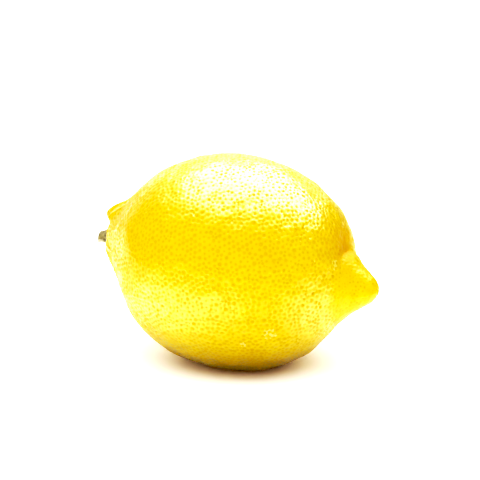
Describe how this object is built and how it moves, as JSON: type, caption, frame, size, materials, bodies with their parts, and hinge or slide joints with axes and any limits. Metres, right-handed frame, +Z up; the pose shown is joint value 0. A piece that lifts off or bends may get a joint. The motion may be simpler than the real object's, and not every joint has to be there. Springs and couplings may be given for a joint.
{
  "type": "lemon",
  "caption": "Ripe lemon lying on its side on a small flat spot, with a blunt nipple at one end and a dry calyx with a stub of cut stem at the other.",
  "frame": {"origin": "on the surface the lemon rests on, under the middle of its bounding box", "axes": "+X along the lemon towards the nipple, which leans 6.3 degrees down; +Y across it; +Z up"},
  "size_m": [0.0852, 0.0602, 0.0603],
  "materials": {
    "peel": "waxy yellow citrus peel, satin, dimpled all over with small oil glands",
    "dry_stem": "dry olive-brown calyx with a pale tan cut on the stem stub"
  },
  "bodies": {
    "root": {"fruit": "peel", "calyx": "dry_stem"}
  },
  "joints": []
}
